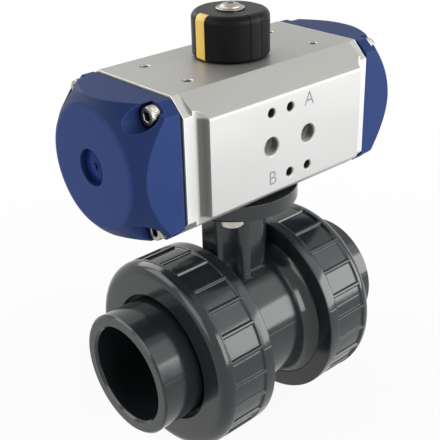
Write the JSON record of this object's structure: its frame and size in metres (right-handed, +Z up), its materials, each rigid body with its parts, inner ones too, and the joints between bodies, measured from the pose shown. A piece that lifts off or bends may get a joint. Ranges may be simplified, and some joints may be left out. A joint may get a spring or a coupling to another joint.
{
  "type": "pneumatic ball valve",
  "caption": "True-union plastic ball valve on a glued pipe, turned a quarter turn by a rack-and-pinion air actuator with end caps, air ports and a position indicator.",
  "frame": {"origin": "under the middle of the valve, at the height of the lowest line of the union nuts, below the stem's axis", "axes": "+X along the pipe and the actuator, towards the end whose nut is at the right when the air ports are faced; +Z up along the stem; the air ports face -Y"},
  "size_m": [0.1666, 0.102, 0.2237],
  "materials": {
    "pvc": "satin dark grey moulded",
    "ptfe": "smooth white",
    "seal_rubber": "matt black",
    "steel": "plain stainless",
    "anodised_aluminium": "natural anodised, bead blasted",
    "cast_aluminium": "as cast",
    "blue_coating": "satin blue coating",
    "blue_plastic": "gloss blue",
    "acetal": "smooth off-white",
    "knob_black": "satin black",
    "marker_yellow": "yellow",
    "marker_black": "black"
  },
  "bodies": {
    "casing": {"valve_body": "pvc", "mounting_neck": "pvc", "end_connector_left": "pvc", "end_connector_right": "pvc", "seal_carrier": "pvc", "ball_seat_left": "ptfe", "ball_seat_right": "ptfe", "seat_backing_seal_left": "seal_rubber", "seat_backing_seal_right": "seal_rubber", "carrier_seal": "seal_rubber", "connector_seal_left": "seal_rubber", "connector_seal_right": "seal_rubber", "flange_bolts": "steel", "actuator_body": "anodised_aluminium", "end_cap_left": "blue_coating", "end_cap_right": "blue_coating", "cap_gasket_left": "seal_rubber", "cap_gasket_right": "seal_rubber", "cap_plug_left": "blue_plastic", "cap_plug_right": "blue_plastic", "cap_screws_left": "steel", "cap_screws_right": "steel"},
    "rotor": {"pinion": "steel", "pinion_bearing_lower": "acetal", "pinion_bearing_upper": "acetal", "pinion_seals": "seal_rubber", "thrust_washer": "acetal", "retaining_ring": "steel", "indicator_knob": "knob_black", "open_markers": "marker_yellow", "closed_markers": "marker_black", "indicator_screw": "steel", "stem": "steel", "stem_seals": "seal_rubber", "ball": "pvc"},
    "left_piston": {"piston_left": "cast_aluminium", "piston_seal_left": "seal_rubber", "piston_guide_left": "acetal", "rack_pad_left": "acetal"},
    "right_piston": {"piston_right": "cast_aluminium", "piston_seal_right": "seal_rubber", "piston_guide_right": "acetal", "rack_pad_right": "acetal"},
    "left_nut": {"union_nut_left": "pvc"},
    "right_nut": {"union_nut_right": "pvc"}
  },
  "joints": [
    {"name": "valve_turn", "type": "hinge", "parent": "casing", "child": "rotor", "pos_m": [0, 0, 0.051], "axis": [0, 0, 1], "range_deg": [-90, 0]},
    {"name": "left_piston_slide", "type": "slide", "parent": "casing", "child": "left_piston", "axis": [1, 0, 0], "range_m": [0, 0.01885]},
    {"name": "right_piston_slide", "type": "slide", "parent": "casing", "child": "right_piston", "axis": [1, 0, 0], "range_m": [-0.01885, 0]},
    {"name": "left_nut_turn", "type": "hinge", "parent": "casing", "child": "left_nut", "pos_m": [-0.037, 0, 0.051], "axis": [-1, 0, 0], "range_deg": [0, 1080]},
    {"name": "right_nut_turn", "type": "hinge", "parent": "casing", "child": "right_nut", "pos_m": [0.037, 0, 0.051], "axis": [1, 0, 0], "range_deg": [0, 1080]}
  ],
  "couplings": [
    {"joint": "left_piston_slide", "follows": "valve_turn", "m_per_rad": -0.012},
    {"joint": "right_piston_slide", "follows": "valve_turn", "m_per_rad": 0.012}
  ]
}
